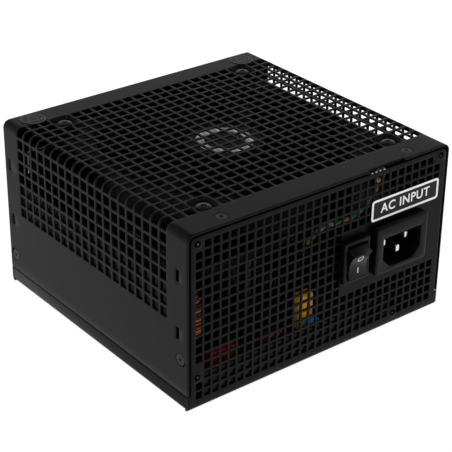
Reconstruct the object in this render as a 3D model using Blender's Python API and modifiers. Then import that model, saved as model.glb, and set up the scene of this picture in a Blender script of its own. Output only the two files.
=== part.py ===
"""Modular ATX power supply unit: a folded steel casing around a 120 mm fan, a mains inlet,
a rocker switch, the converter board and a row of modular output sockets.

Units are metres, built from millimetre constants. +Z is up (the fan side), -Y faces the mains
panel, +X is the inlet's end of that panel. The origin is the middle of the casing's underside.
"""

import math

import bmesh
import bpy
from mathutils import Matrix, Vector

MM = 0.001
GAP = 0.3                     # clearance kept between neighbouring pieces

# Casing
WIDTH = 148.0
DEPTH = 142.0
HEIGHT = 84.5
SHEET = 1.0
BEND = 3.5                    # outside radius of the cover's two long bends
STRIP_H = 7.5                 # height of the chassis strip left showing under the cover
WALL_TOP = 57.0               # top of the chassis's inner side walls
X_SIDE = WIDTH / 2
Y_REAR = -DEPTH / 2           # outside of the mains panel
Y_FRONT = DEPTH / 2           # outside of the output panel
X_INNER = X_SIDE - SHEET - 0.2
PANEL_TOP = HEIGHT - SHEET - 0.2
FLANGE_Z = (82.2, 83.2)
FLANGE_LEN = 9.5
BOSSES = ((-62.0, -20.0), (62.0, -40.0), (-62.0, 52.0), (62.0, 52.0))    # board supports: x, y

# Case bolts, No. 6-32 (standard pattern): x and z on the mains panel
BOLTS = ((-69.0, 79.8), (69.0, 79.8), (-69.0, 15.9), (45.0, 6.0))
BOLT_HOLE_R = 1.5
COLLAR_R = 2.7

# Cover screws (x, y), flank screws (y, z) and flank slots (y, z); the last two cover screws are sealed
COVER_SCREWS = ((-52.0, -64.6), (53.0, -64.6), (-61.9, 64.0), (61.9, 64.0))
SIDE_SCREWS = ((-65.6, 24.1), (66.6, 15.8))
SIDE_SLOTS = ((-64.0, 63.8), (-64.0, 36.4), (66.3, 63.8), (66.3, 35.2))
SEAT_R = 3.4                  # shallow seat round each flat screw head
TAP_R = 1.8
CLEAR_R = 1.9

# Fan, 120 mm frame with 105 mm screw spacing
FAN_X = 0.4
FAN_Y = -0.4
FAN_SIZE = 120.0
FAN_THICK = 25.0
FAN_SCREW_HALF = 52.5
FAN_BORE_R = 57.2
ROTOR_R = 55.8
HUB_R = 19.0
BLADES = 9
SHAFT_R = 1.5
ARM_THICK = 3.0
PAD_DEPTH = 2.0               # how far the cover is dished under each fan screw
PAD_SIZE = 11.0
FAN_TOP = HEIGHT - PAD_DEPTH - SHEET - GAP
FAN_BOTTOM = FAN_TOP - FAN_THICK
HUB_TOP = FAN_TOP - 1.2

# Mains inlet (C14) and rocker switch on the mains panel
INLET_X = 43.3
INLET_Z = 44.7
INLET_W = 31.4
INLET_H = 23.4
INLET_PROUD = 4.6
RECESS_W = 23.0
RECESS_H = 15.4
RECESS_Z = 43.2
RECESS_DEPTH = 17.0
PIN_TIPS = {                  # x, z and the y of each contact's tip
    "live": (36.3, 45.4, -71.0),
    "neutral": (50.3, 45.4, -71.0),
    "earth": (43.3, 41.3, -73.0),
}
SWITCH_X = 16.8
SWITCH_Z = 44.6
SWITCH_W = 15.2
SWITCH_H = 20.6
SWITCH_PROUD = 3.6
ROCKER_TILT = math.radians(13.0)
LABEL = ((27.0, 58.8), (68.3, 69.2))    # opposite corners of the input label: x, z

# Boards
PCB_Z = 8.0
PCB_THICK = 1.6
PCB_TOP = PCB_Z + PCB_THICK + GAP       # where the board's parts stand
# name: centre x, centre z, contacts in a row
SOCKETS = {
    "board_socket_18": (-42.0, 60.0, 9),
    "board_socket_10": (-5.0, 60.0, 5),
    "cpu_socket_1": (24.0, 60.0, 4),
    "cpu_socket_2": (50.0, 60.0, 4),
    "graphics_socket_1": (-46.0, 36.0, 4),
    "graphics_socket_2": (-16.0, 36.0, 4),
    "drive_socket": (14.0, 36.0, 3),
}
CONTACT_PITCH = 4.2
SOCKET_H = 10.6
SOCKET_WALL = 1.2


def clear_scene():
    for obj in list(bpy.data.objects):
        bpy.data.objects.remove(obj, do_unlink=True)


def new_collection(name):
    group = bpy.data.collections.new(name)
    bpy.context.scene.collection.children.link(group)
    return group


def material(name, colour, roughness, metallic=0.0):
    mat = bpy.data.materials.new(name)
    mat.use_nodes = True
    shader = mat.node_tree.nodes["Principled BSDF"]
    shader.inputs["Base Color"].default_value = (*colour, 1.0)
    shader.inputs["Roughness"].default_value = roughness
    shader.inputs["Metallic"].default_value = metallic
    return mat


def place(name, mesh, centre, mat=None):
    """Link a mesh as a named part at centre, or as a cutter when it has no material."""
    obj = bpy.data.objects.new(name, mesh)
    obj.location = Vector(centre) * MM
    if mat is None:
        CUTTERS.objects.link(obj)
        obj.hide_render = True
        obj.display_type = "WIRE"
    else:
        PARTS.objects.link(obj)
        mesh.materials.append(mat)
    return obj


def mesh_from(name, bm, smooth_angle=None):
    mesh = bpy.data.meshes.new(name)
    bm.to_mesh(mesh)
    bm.free()
    if smooth_angle is not None:
        mesh.shade_smooth()
        mesh.set_sharp_from_angle(angle=math.radians(smooth_angle))
    return mesh


def box(name, low, high, mat=None):
    low = Vector(low)
    high = Vector(high)
    bm = bmesh.new()
    bmesh.ops.create_cube(bm, size=1.0, matrix=Matrix.Diagonal((*((high - low) * MM), 1.0)))
    return place(name, mesh_from(name, bm), (low + high) / 2, mat)


def axis_turn(axis):
    return {
        "X": Matrix.Rotation(math.pi / 2, 4, "Y"),
        "Y": Matrix.Rotation(-math.pi / 2, 4, "X"),
        "Z": Matrix.Identity(4),
    }[axis]


def cylinder(name, centre, radius, length, axis="Z", mat=None, segments=20, top_radius=None):
    bm = bmesh.new()
    bmesh.ops.create_cone(
        bm, cap_ends=True, segments=segments, radius1=radius * MM,
        radius2=(radius if top_radius is None else top_radius) * MM, depth=length * MM,
        matrix=axis_turn(axis))
    return place(name, mesh_from(name, bm, 40), centre, mat)


def boolean(obj, tool, operation):
    mod = obj.modifiers.new(operation.title() + " " + tool.name, "BOOLEAN")
    mod.operation = operation
    mod.object = tool
    mod.solver = "EXACT"


def cut(obj, *tools):
    for tool in tools:
        boolean(obj, tool, "DIFFERENCE")


def join(obj, *tools):
    for tool in tools:
        boolean(obj, tool, "UNION")


def bevel(obj, width, segments=2):
    mod = obj.modifiers.new("Bevel", "BEVEL")
    mod.width = width * MM
    mod.segments = segments
    mod.limit_method = "ANGLE"
    mod.angle_limit = math.radians(40)


def outline(name, points, thickness, centre, turn, mat=None):
    """Extrude a flat closed outline by thickness, centred on centre, and turn it into place."""
    curve = bpy.data.curves.new(name, "CURVE")
    curve.dimensions = "2D"
    curve.fill_mode = "BOTH"
    curve.extrude = thickness / 2 * MM
    spline = curve.splines.new("POLY")
    spline.points.add(len(points) - 1)
    for point, (u, v) in zip(spline.points, points):
        point.co = (u * MM, v * MM, 0.0, 1.0)
    spline.use_cyclic_u = True
    return curve_to_mesh(name, curve, centre, turn, mat)


def curve_to_mesh(name, curve, centre, turn, mat):
    """Turn a curve into a welded, closed mesh part."""
    guide = bpy.data.objects.new(name + "_guide", curve)
    bpy.context.scene.collection.objects.link(guide)
    evaluated = guide.evaluated_get(bpy.context.evaluated_depsgraph_get())
    raw = bpy.data.meshes.new_from_object(evaluated)
    bpy.data.objects.remove(guide, do_unlink=True)
    bm = bmesh.new()
    bm.from_mesh(raw)
    bpy.data.meshes.remove(raw)
    bmesh.ops.remove_doubles(bm, verts=bm.verts, dist=0.00001)
    bmesh.ops.recalc_face_normals(bm, faces=bm.faces)
    bm.transform(turn)
    return place(name, mesh_from(name, bm, 40), centre, mat)


TO_XZ = Matrix.Rotation(math.pi / 2, 4, "X")        # an outline in u, v stands up in x, z
TO_YZ = Matrix.Rotation(math.pi / 2, 4, "Z") @ TO_XZ  # an outline in u, v stands up in y, z


def arc(cx, cy, radius, start, end, steps):
    """Points of an arc, angles in degrees."""
    angles = (math.radians(start + (end - start) * i / steps) for i in range(steps + 1))
    return [(cx + radius * math.cos(a), cy + radius * math.sin(a)) for a in angles]


def tube(name, points, radius, mat, samples=26):
    """A lead: a smooth curve through points, drawn as a capped tube."""
    curve = bpy.data.curves.new(name, "CURVE")
    curve.dimensions = "3D"
    curve.bevel_depth = radius * MM
    curve.bevel_resolution = 2
    curve.use_fill_caps = True
    route = catmull_rom([Vector(p) for p in points], samples)
    spline = curve.splines.new("POLY")
    spline.points.add(len(route) - 1)
    for point, position in zip(spline.points, route):
        point.co = (*(position * MM), 1.0)
    return curve_to_mesh(name, curve, (0, 0, 0), Matrix.Identity(4), mat)


def catmull_rom(points, samples):
    """Evenly numbered points along a smooth curve through the given ones."""
    ends = [points[0] * 2 - points[1], *points, points[-1] * 2 - points[-2]]
    spans = len(points) - 1
    route = []
    for i in range(samples + 1):
        position = min(i / samples * spans, spans - 1e-6)
        k = int(position)
        t = position - k
        a, b, c, d = ends[k:k + 4]
        route.append(0.5 * (2 * b + (c - a) * t + (2 * a - 5 * b + 4 * c - d) * t ** 2
                            + (3 * b - a - 3 * c + d) * t ** 3))
    return route


def countersunk(name, head, axis, outward, mat, shank_len=5.0, head_r=3.1):
    """A flat-headed screw: head is the middle of its outer face, outward is +1 or -1 along axis."""
    step = Vector([outward if a == axis else 0.0 for a in "XYZ"])
    head = Vector(head)
    screw = cylinder(name, head - step * 0.325, head_r, 0.65, axis, mat, 16)
    shank = cylinder(name + "_shank", head - step * (0.5 + shank_len / 2), 1.4, shank_len, axis, None, 12)
    join(screw, shank)
    return screw


def chassis():
    """Base, both end panels and the side walls that the cover slides over, in one folded piece."""
    joggle = STRIP_H - SHEET
    half = [(X_SIDE, 0.0), (X_SIDE, STRIP_H), (X_INNER, STRIP_H), (X_INNER, WALL_TOP),
            (X_INNER - SHEET, WALL_TOP), (X_INNER - SHEET, joggle), (X_SIDE - SHEET, joggle),
            (X_SIDE - SHEET, SHEET)]
    section = half + [(-x, z) for x, z in reversed(half)]
    base = outline("bottom_chassis", section, DEPTH - SHEET, (0, 0, 0), TO_XZ, STEEL_BLACK)
    foot = 2.0
    corner = 3.0
    right = [*arc(X_SIDE - foot, foot, foot, -90, 0, 3), (X_SIDE, STRIP_H), (X_INNER, STRIP_H),
             *arc(X_INNER - corner, PANEL_TOP - corner, corner, 0, 90, 4)]
    panel = right + [(-x, z) for x, z in reversed(right)]
    for direction in (-1, 1):
        y_panel = direction * (Y_FRONT - SHEET / 2)
        y_lug = direction * (Y_FRONT - FLANGE_LEN / 2)
        reach = (FLANGE_LEN - SHEET) / 2
        join(base, outline("panel", panel, SHEET, (0, y_panel, 0), TO_XZ),
             box("flange", (-66, y_lug - reach, FLANGE_Z[0]), (66, y_lug + reach, FLANGE_Z[1])))
        for side in (-1, 1):
            x_lug = side * (X_INNER - SHEET / 2)
            join(base, box("lug", (x_lug - 0.45, y_lug - reach, WALL_TOP - 1),
                           (x_lug + 0.45, y_lug + reach, 79.0)))
    for x, y in BOSSES:
        join(base, cylinder("boss", (x, y, SHEET + 3.0), 3.6, 6.6, segments=16, top_radius=3.0))
        cut(base, cylinder("boss_hole", (x, y, 5.5), 1.7, 5.0, segments=12))
    for x, z in BOLTS:
        join(base, cylinder("collar", (x, Y_REAR + 1.4, z), COLLAR_R, 2.4, "Y", segments=14))
        cut(base, cylinder("bolt_hole", (x, Y_REAR + 2, z), BOLT_HOLE_R, 9.0, "Y", segments=14))
    cut(base,
        box("inlet_cut", (INLET_X - 14.2, Y_REAR - 2, INLET_Z - 10.6),
            (INLET_X + 14.2, Y_REAR + 3, INLET_Z + 10.6)),
        box("switch_cut", (SWITCH_X - 6.9, Y_REAR - 2, SWITCH_Z - 9.6),
            (SWITCH_X + 6.9, Y_REAR + 3, SWITCH_Z + 9.6)))
    for name, (x, z, ways) in SOCKETS.items():
        half_w = socket_half_width(ways) + GAP
        half_h = SOCKET_H / 2 + GAP
        cut(base, box(name + "_cut", (x - half_w, Y_FRONT - 3, z - half_h),
                      (x + half_w, Y_FRONT + 2, z + half_h)))
    for x, y in COVER_SCREWS:
        cut(base, cylinder("tap", (x, y, 82.5), TAP_R, 5.0, segments=12))
    for side in (-1, 1):
        for y, z in SIDE_SCREWS:
            cut(base, cylinder("tap", (side * 72.0, y, z), TAP_R, 5.0, "X", segments=12))
    return base


def fan_screw_places():
    return [(FAN_X + i * FAN_SCREW_HALF, FAN_Y + j * FAN_SCREW_HALF) for j in (-1, 1) for i in (-1, 1)]


def cover():
    """The sliding cover: fan side and both flanks in one bent sheet."""
    profile = [(-X_SIDE, STRIP_H + GAP),
               *[(-x, z) for x, z in arc(X_SIDE - BEND, HEIGHT - BEND, BEND, 0, 90, 6)],
               *arc(X_SIDE - BEND, HEIGHT - BEND, BEND, 90, 0, 6),
               (X_SIDE, STRIP_H + GAP)]
    bm = bmesh.new()
    ends = [[bm.verts.new((x * MM, y * MM, z * MM)) for x, z in profile] for y in (Y_REAR, Y_FRONT)]
    for i in range(len(profile) - 1):
        bm.faces.new((ends[0][i], ends[0][i + 1], ends[1][i + 1], ends[1][i]))
    shell = place("top_cover", mesh_from("top_cover", bm, 30), (0, 0, 0), STEEL_BLACK)
    solid = shell.modifiers.new("Sheet", "SOLIDIFY")
    solid.thickness = SHEET * MM
    solid.offset = -1.0
    solid.use_even_offset = True
    half = PAD_SIZE / 2
    for x, y in fan_screw_places():
        floor = HEIGHT - PAD_DEPTH
        hollow = half - SHEET
        join(shell, box("pad", (x - half, y - half, floor - SHEET), (x + half, y + half, HEIGHT - 0.2)))
        cut(shell,
            box("pad_hollow", (x - hollow, y - hollow, floor), (x + hollow, y + hollow, HEIGHT + 5)),
            cylinder("fan_screw_hole", (x, y, floor), 2.4, 8.0, segments=14))
    for x, y in COVER_SCREWS:
        cut(shell,
            cylinder("seat", (x, y, HEIGHT + 0.2), SEAT_R, 2.0, segments=16),
            cylinder("screw_hole", (x, y, HEIGHT), CLEAR_R, 6.0, segments=12))
    for side in (-1, 1):
        for y, z in SIDE_SCREWS:
            cut(shell,
                cylinder("seat", (side * (X_SIDE + 0.2), y, z), SEAT_R, 2.0, "X", segments=16),
                cylinder("screw_hole", (side * X_SIDE, y, z), CLEAR_R, 6.0, "X", segments=12))
        for y, z in SIDE_SLOTS:
            cut(shell, box("slot", (side * X_SIDE - 3, y - 1.0, z - 2.8),
                           (side * X_SIDE + 3, y + 1.0, z + 2.8)))
    cut(shell, box("edge_notch", (24.5, Y_REAR - 1, 80), (46.0, Y_REAR + 1.0, 90)))
    return shell


def fasteners():
    for i, (x, y) in enumerate(COVER_SCREWS[:2]):
        countersunk(f"cover_screw_{i + 1}", (x, y, HEIGHT - 0.1), "Z", 1, ZINC_BLACK)
    for i, (x, y) in enumerate(COVER_SCREWS[2:]):
        countersunk(f"seal_screw_{i + 1}", (x, y, HEIGHT - 0.1), "Z", 1, ZINC_BLACK)
        cylinder(f"seal_sticker_{i + 1}", (x, y, HEIGHT + 0.15), 6.0, 0.2, mat=FOIL, segments=24)
    for side, word in ((-1, "left"), (1, "right")):
        for i, (y, z) in enumerate(SIDE_SCREWS):
            countersunk(f"side_screw_{word}_{i + 1}", (side * (X_SIDE - 0.1), y, z), "X", side, ZINC_BLACK)
    for i, (x, y) in enumerate(fan_screw_places()):
        screw = cylinder(f"fan_screw_{i + 1}", (x, y, HEIGHT - PAD_DEPTH + 1.15), 3.7, 1.7,
                         mat=ZINC_BLACK, segments=18)
        bevel(screw, 0.5, 1)
        join(screw, cylinder("fan_screw_shank", (x, y, HEIGHT - 6.5), 1.9, 11.0, segments=12))
    for i, (x, y) in enumerate(BOSSES):
        screw = cylinder(f"pcb_screw_{i + 1}", (x, y, PCB_TOP + 0.9), 3.0, 1.6, mat=ZINC_BLACK, segments=16)
        join(screw, cylinder("pcb_screw_shank", (x, y, PCB_TOP - 2.2), 1.3, 5.4, segments=12))


def inlet():
    """Snap-in C14 inlet: flange, moulded well and three flat contacts."""
    face = Y_REAR - INLET_PROUD
    housing = box("inlet_housing", (INLET_X - INLET_W / 2, face, INLET_Z - INLET_H / 2),
                  (INLET_X + INLET_W / 2, Y_REAR - GAP, INLET_Z + INLET_H / 2), PLASTIC_BLACK)
    bevel(housing, 0.8, 2)
    join(housing, box("inlet_body", (INLET_X - 13.7, face + 1, INLET_Z - 10.1),
                      (INLET_X + 13.7, -55.5, INLET_Z + 10.1)))
    half_w = RECESS_W / 2
    half_h = RECESS_H / 2
    chamfer = 4.7
    well = [(-half_w, -half_h + chamfer), (-half_w + chamfer, -half_h),
            (half_w - chamfer, -half_h), (half_w, -half_h + chamfer), (half_w, half_h), (-half_w, half_h)]
    cut(housing, outline("inlet_well", well, RECESS_DEPTH + 4,
                         (INLET_X, face - 2 + RECESS_DEPTH / 2, RECESS_Z), TO_XZ))
    for name, (x, z, tip) in PIN_TIPS.items():
        cut(housing, box("pin_slot", (x - 1.3, -62, z - 2.3), (x + 1.3, -50, z + 2.3)))
        pin = box("inlet_pin_" + name, (x - 1.0, tip, z - 2.0), (x + 1.0, -51.0, z + 2.0), NICKEL)
        bevel(pin, 0.4, 1)


def switch():
    """Rocker switch: snap-in frame and a rocker that rests with its lower end pressed in."""
    face = Y_REAR - SWITCH_PROUD
    frame = box("switch_frame", (SWITCH_X - SWITCH_W / 2, face, SWITCH_Z - SWITCH_H / 2),
                (SWITCH_X + SWITCH_W / 2, Y_REAR - GAP, SWITCH_Z + SWITCH_H / 2), PLASTIC_BLACK)
    bevel(frame, 0.6, 2)
    join(frame, box("switch_body", (SWITCH_X - 6.6, face + 1, SWITCH_Z - 9.3),
                    (SWITCH_X + 6.6, -57.0, SWITCH_Z + 9.3)))
    cut(frame,
        box("rocker_well", (SWITCH_X - 5.8, face - 2, SWITCH_Z - 8.5),
            (SWITCH_X + 5.8, -61.0, SWITCH_Z + 8.5)),
        cylinder("pivot_bore", (SWITCH_X, Y_REAR, SWITCH_Z), 1.5, 20.0, "X", segments=16))
    # u is outward from the panel, v is up from the pivot, both with the rocker level
    end_u, end_v = 6.3, 6.4
    dish = 1.6
    crown = [(end_u - dish * (1 - (k / 4) ** 2), end_v * k / 4) for k in range(4, -5, -1)]
    profile = [(-3.5, 5.0), (1.7, 7.9), *crown, (1.7, -7.9), (-3.5, -5.0)]
    turned = [(-(u * math.cos(ROCKER_TILT) + v * math.sin(ROCKER_TILT)),
               v * math.cos(ROCKER_TILT) - u * math.sin(ROCKER_TILT)) for u, v in profile]
    rocker = outline("switch_rocker", turned, 10.6, (SWITCH_X, Y_REAR, SWITCH_Z), TO_YZ, PLASTIC_GLOSS)
    join(rocker, cylinder("pivot", (SWITCH_X, Y_REAR, SWITCH_Z), 1.2, 12.6, "X", segments=16))


def fan():
    """Fan frame, bearing, stator and the bladed rotor that spins on its shaft."""
    centre = (FAN_X, FAN_Y)
    middle = (FAN_TOP + FAN_BOTTOM) / 2
    half = FAN_SIZE / 2
    corner = 4.0
    inset = half - corner
    flange = 4.0
    flat = Matrix.Identity(4)
    square = [*arc(inset, inset, corner, 0, 90, 2), *arc(-inset, inset, corner, 90, 180, 2),
              *arc(-inset, -inset, corner, 180, 270, 2), *arc(inset, -inset, corner, 270, 360, 2)]
    frame = outline("fan_frame", square, flange, (*centre, FAN_TOP - flange / 2), flat, PLASTIC_BLACK)
    join(frame,
         outline("lower_flange", square, flange, (*centre, FAN_BOTTOM + flange / 2), flat),
         cylinder("duct", (*centre, middle), half - 0.3, FAN_THICK - 2, segments=48))
    cut(frame, cylinder("duct_bore", (*centre, middle), FAN_BORE_R, FAN_THICK + 4, segments=48))
    arm_z = FAN_BOTTOM + ARM_THICK / 2
    arm_length = half - 1.5
    for k in range(4):
        arm = box("arm", (-arm_length, -2.5, -ARM_THICK / 2), (0, 2.5, ARM_THICK / 2))
        arm.location = Vector((*centre, arm_z)) * MM
        arm.data.transform(Matrix.Translation(Vector((-arm_length / 2, 0, 0)) * MM))
        arm.rotation_euler.z = math.radians(20 + 90 * k)
        join(frame, arm)
    join(frame,
         cylinder("motor_base", (*centre, arm_z), 18.0, ARM_THICK, segments=32),
         cylinder("bearing_tube", (*centre, arm_z + 7.5), 5.0, 15.0, segments=20))
    cut(frame, cylinder("bearing_bore", (*centre, arm_z + 8.5), 3.7, 15.0, segments=20))
    for x, y in fan_screw_places():
        cut(frame, cylinder("fan_hole", (x, y, middle), 2.2, FAN_THICK + 4, segments=12))

    ring("fan_bearing", centre, arm_z + 1.3, arm_z + 12.0, 1.8, 3.4, BRASS)
    ring("fan_stator", centre, arm_z + 2.5, arm_z + 11.5, 5.3, 14.5, COPPER)
    cylinder("fan_shaft", (*centre, (HUB_TOP + FAN_BOTTOM) / 2 + 0.8), SHAFT_R,
             HUB_TOP - FAN_BOTTOM - 6.0, mat=STEEL_BRIGHT, segments=16)
    rotor(centre)
    cylinder("fan_hub_label", (*centre, HUB_TOP + 0.3), HUB_R - 2.0, 0.2, mat=LABEL_GREY, segments=32)


def ring(name, centre, low, high, inner, outer, mat):
    """A turned ring with a plain rectangular section."""
    bm = bmesh.new()
    corners = [(inner, high), (outer, high), (outer, low), (inner, low)]
    points = [bm.verts.new((r * MM, 0.0, (z - low) * MM)) for r, z in corners]
    for i in range(4):
        bm.edges.new((points[i], points[(i + 1) % 4]))
    obj = place(name, mesh_from(name, bm), (*centre, low), mat)
    spin = obj.modifiers.new("Turn", "SCREW")
    spin.steps = 24
    spin.render_steps = 24
    spin.use_merge_vertices = True
    spin.merge_threshold = 0.00001
    return obj


def rotor(centre):
    """The hub, a cup open at the bottom, with its blades."""
    depth = 19.0
    wall = 2.0
    hub = cylinder("fan_rotor", (*centre, HUB_TOP - depth / 2), HUB_R, depth, mat=PLASTIC_BLACK, segments=40)
    cut(hub, cylinder("hub_hollow", (*centre, HUB_TOP - wall - 10.0), HUB_R - wall, 20.0, segments=40))
    for k in range(BLADES):
        join(hub, blade(centre, 360.0 * k / BLADES))


def blade(centre, angle):
    """One swept, twisted blade, whose root is buried in the hub wall."""
    spans = 4
    chords = 3
    root_r = HUB_R - 1.0
    root_width = 31.0
    taper = 4.0
    sweep_angle = 16.0
    drop = 14.0
    bm = bmesh.new()
    grid = []
    for i in range(spans + 1):
        s = i / spans
        radius = root_r + (ROTOR_R - root_r) * s
        sweep = math.radians(angle + sweep_angle * s ** 1.5)
        width = math.radians(root_width - taper * s)
        row = []
        for j in range(chords + 1):
            c = j / chords
            turn = sweep + width * (c - 0.5)
            rise = HUB_TOP - 2.5 - drop * c ** 1.15
            row.append(bm.verts.new((radius * math.cos(turn) * MM, radius * math.sin(turn) * MM, rise * MM)))
        grid.append(row)
    for i in range(spans):
        for j in range(chords):
            bm.faces.new((grid[i][j], grid[i + 1][j], grid[i + 1][j + 1], grid[i][j + 1]))
    obj = place("blade", mesh_from("blade", bm), (*centre, 0.0))
    solid = obj.modifiers.new("Thickness", "SOLIDIFY")
    solid.thickness = 1.5 * MM
    solid.offset = 0.0
    return obj


def torus(name, centre, major, minor, turn, mat):
    bpy.ops.mesh.primitive_torus_add(
        major_segments=24, minor_segments=10, major_radius=major * MM, minor_radius=minor * MM,
        location=Vector(centre) * MM, rotation=turn)
    obj = bpy.context.active_object
    for group in list(obj.users_collection):
        group.objects.unlink(obj)
    PARTS.objects.link(obj)
    obj.name = name
    obj.data.materials.append(mat)
    obj.data.shade_smooth()
    return obj


def boards():
    """Converter board with its large parts, and the insulating sheet under it."""
    sheet = box("insulator_sheet", (-67, -69.2, 1.6), (67, 68.8, 2.1), FIBRE)
    join(sheet, box("sheet_lip", (-64, -69.5, 1.6), (41, -68.9, 13.8)))
    pcb = box("main_pcb", (-68, -65, PCB_Z), (68, 58, PCB_Z + PCB_THICK), PCB_GREEN)
    for x, y in BOSSES:
        cut(sheet, cylinder("sheet_hole", (x, y, 2), 4.4, 4, segments=16))
        cut(pcb, cylinder("pcb_hole", (x, y, PCB_Z), 1.8, 6, segments=12))

    torus("filter_choke", (-63.6, -49.0, 38.5), 12.5, 4.4, (0, math.pi / 2, 0), COPPER)
    bevel(box("film_capacitor", (-54.7, -62.5, PCB_TOP), (-40.3, -57.0, 17.4), EPOXY_RED), 1.0, 1)
    bevel(box("x_capacitor", (-5.2, -62.5, PCB_TOP), (3.3, -57.0, 28.0), EPOXY_YELLOW), 1.0, 1)
    cylinder("y_capacitor", (0.6, -64.7, 14.0), 3.2, 3.6, "Y", EPOXY_BLUE, 20)
    for i, y in enumerate((-8.0, 26.0)):
        can = cylinder(f"bulk_capacitor_{i + 1}", (-42.0, y, PCB_TOP + 21.5), 15.0, 43.0,
                       mat=SLEEVE_BLACK, segments=32)
        bevel(can, 1.2, 1)
    heatsink("primary_heatsink", -20.0, -44.0, 44.0)
    heatsink("secondary_heatsink", 38.0, -30.0, 44.0)
    core = box("transformer_core", (-6.0, -4.0, PCB_TOP + 2), (28.0, 30.0, 46.0), FERRITE)
    cut(core, box("core_window", (-10.0, 2.0, PCB_TOP + 8), (32.0, 24.0, 39.0)))
    bevel(box("transformer_winding", (-9.0, 2.4, PCB_TOP + 8.4), (31.0, 23.6, 38.6), TAPE_YELLOW), 2.0, 2)
    torus("power_choke", (12.0, -27.0, PCB_TOP + 21.0), 15.0, 6.0, (math.pi / 2, 0, 0), COPPER)
    for i, y in enumerate((6.0, 20.0)):
        cylinder(f"output_capacitor_{i + 1}", (58.0, y, PCB_TOP + 11.0), 5.0, 22.0, mat=SLEEVE_BLACK)


def heatsink(name, x, y_low, y_high):
    """Upright plate with fins along its top half."""
    plate = box(name, (x - 1.5, y_low, PCB_TOP), (x + 1.5, y_high, 50.0), ALUMINIUM)
    fins = 8
    for k in range(fins):
        y = y_low + (y_high - y_low) * (k + 0.5) / fins
        join(plate, box("fin", (x - 5.0, y - 0.75, 30.0), (x + 5.0, y + 0.75, 49.0)))


def socket_half_width(ways):
    """Half the outer width of a socket with that many contacts in a row."""
    return ways * CONTACT_PITCH / 2 + 1.3


def sockets():
    """Modular board and the shrouded sockets that show through the output panel."""
    box("modular_board", (-66, 60.0, 25.0), (66, 61.6, 70.0), PCB_GREEN)
    back_y = 62.0
    floor_y = 64.5
    half_h = SOCKET_H / 2
    hollow_h = half_h - SOCKET_WALL
    for name, (x, z, ways) in SOCKETS.items():
        half_w = socket_half_width(ways)
        hollow_w = half_w - SOCKET_WALL
        shroud = box(name, (x - half_w, back_y, z - half_h), (x + half_w, Y_FRONT + 0.4, z + half_h),
                     PLASTIC_BLACK)
        cut(shroud, box(name + "_hollow", (x - hollow_w, floor_y, z - hollow_h),
                        (x + hollow_w, Y_FRONT + 3, z + hollow_h)))


def leads():
    """Wires held inside the casing."""
    tube("earth_wire", [(43.3, -50.4, 41.3), (42.0, -45.5, 44.0), (30.0, -47.0, 50.5), (10.0, -53.0, 53.0),
                        (-1.0, -61.0, 54.0), (-2.5, -65.3, 58.5), (3.0, -65.8, 61.8), (12.0, -65.5, 61.2),
                        (20.0, -65.5, 61.3), (27.0, -65.5, 63.8), (32.0, -65.8, 68.0), (34.0, -66.0, 72.0),
                        (34.0, -66.0, 76.0)], 1.2, GREEN_YELLOW, 36)
    tube("live_wire", [(36.3, -50.4, 45.4), (35.0, -46.5, 43.0), (26.0, -45.5, 39.0), (18.0, -50.0, 40.5),
                       (16.8, -56.4, 42.0)], 1.2, WIRE_BROWN, 16)
    tube("fan_lead", [(61.5, 54.0, 55.6), (62.0, 50.0, 46.0), (62.5, 40.0, 30.0), (62.0, 34.0, 18.0),
                      (62.0, 33.0, PCB_TOP + 0.2)], 1.1, WIRE_BLACK, 20)


clear_scene()
PARTS = new_collection("power_supply_unit")
CUTTERS = new_collection("cutters")

STEEL_BLACK = material("steel_black", (0.035, 0.035, 0.036), 0.55, 0.2)
ZINC_BLACK = material("zinc_black", (0.05, 0.05, 0.052), 0.4, 0.8)
STEEL_BRIGHT = material("steel_bright", (0.6, 0.6, 0.6), 0.3, 1.0)
NICKEL = material("nickel", (0.7, 0.68, 0.64), 0.3, 1.0)
BRASS = material("brass", (0.6, 0.45, 0.2), 0.35, 1.0)
COPPER = material("copper", (0.6, 0.24, 0.1), 0.35, 0.9)
ALUMINIUM = material("aluminium", (0.6, 0.61, 0.62), 0.4, 1.0)
PLASTIC_BLACK = material("plastic_black", (0.03, 0.03, 0.031), 0.5)
PLASTIC_GLOSS = material("plastic_gloss", (0.03, 0.03, 0.031), 0.25)
FOIL = material("foil", (0.25, 0.25, 0.25), 0.35, 0.6)
LABEL_BLACK = material("label_black", (0.02, 0.02, 0.02), 0.5)
LABEL_GREY = material("label_grey", (0.45, 0.45, 0.46), 0.5)
PCB_GREEN = material("pcb_green", (0.02, 0.12, 0.05), 0.45)
FIBRE = material("fibre", (0.03, 0.03, 0.03), 0.6)
FERRITE = material("ferrite", (0.04, 0.04, 0.045), 0.7)
TAPE_YELLOW = material("tape_yellow", (0.75, 0.55, 0.08), 0.45)
EPOXY_YELLOW = material("epoxy_yellow", (0.8, 0.5, 0.08), 0.4)
EPOXY_RED = material("epoxy_red", (0.35, 0.05, 0.04), 0.45)
EPOXY_BLUE = material("epoxy_blue", (0.08, 0.3, 0.7), 0.35)
SLEEVE_BLACK = material("sleeve_black", (0.03, 0.03, 0.035), 0.35)
GREEN_YELLOW = material("wire_green", (0.2, 0.5, 0.1), 0.4)
WIRE_BROWN = material("wire_brown", (0.15, 0.06, 0.03), 0.4)
WIRE_BLACK = material("wire_black", (0.02, 0.02, 0.02), 0.4)

chassis()
cover()
fasteners()
inlet()
switch()
fan()
boards()
sockets()
leads()
(LOW_X, LOW_Z), (HIGH_X, HIGH_Z) = LABEL
box("input_label", (LOW_X, Y_REAR - 0.4, LOW_Z), (HIGH_X, Y_REAR - 0.2, HIGH_Z), LABEL_BLACK)
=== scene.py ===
"""The look of a modular ATX power supply unit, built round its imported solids.

Lengths are millimetres here and become metres as meshes are made. +Z is up (the fan side), -Y faces
the mains panel and +X is the inlet's end of that panel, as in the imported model.
"""

import math

import bmesh
import bpy
from mathutils import Matrix, Vector


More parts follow.
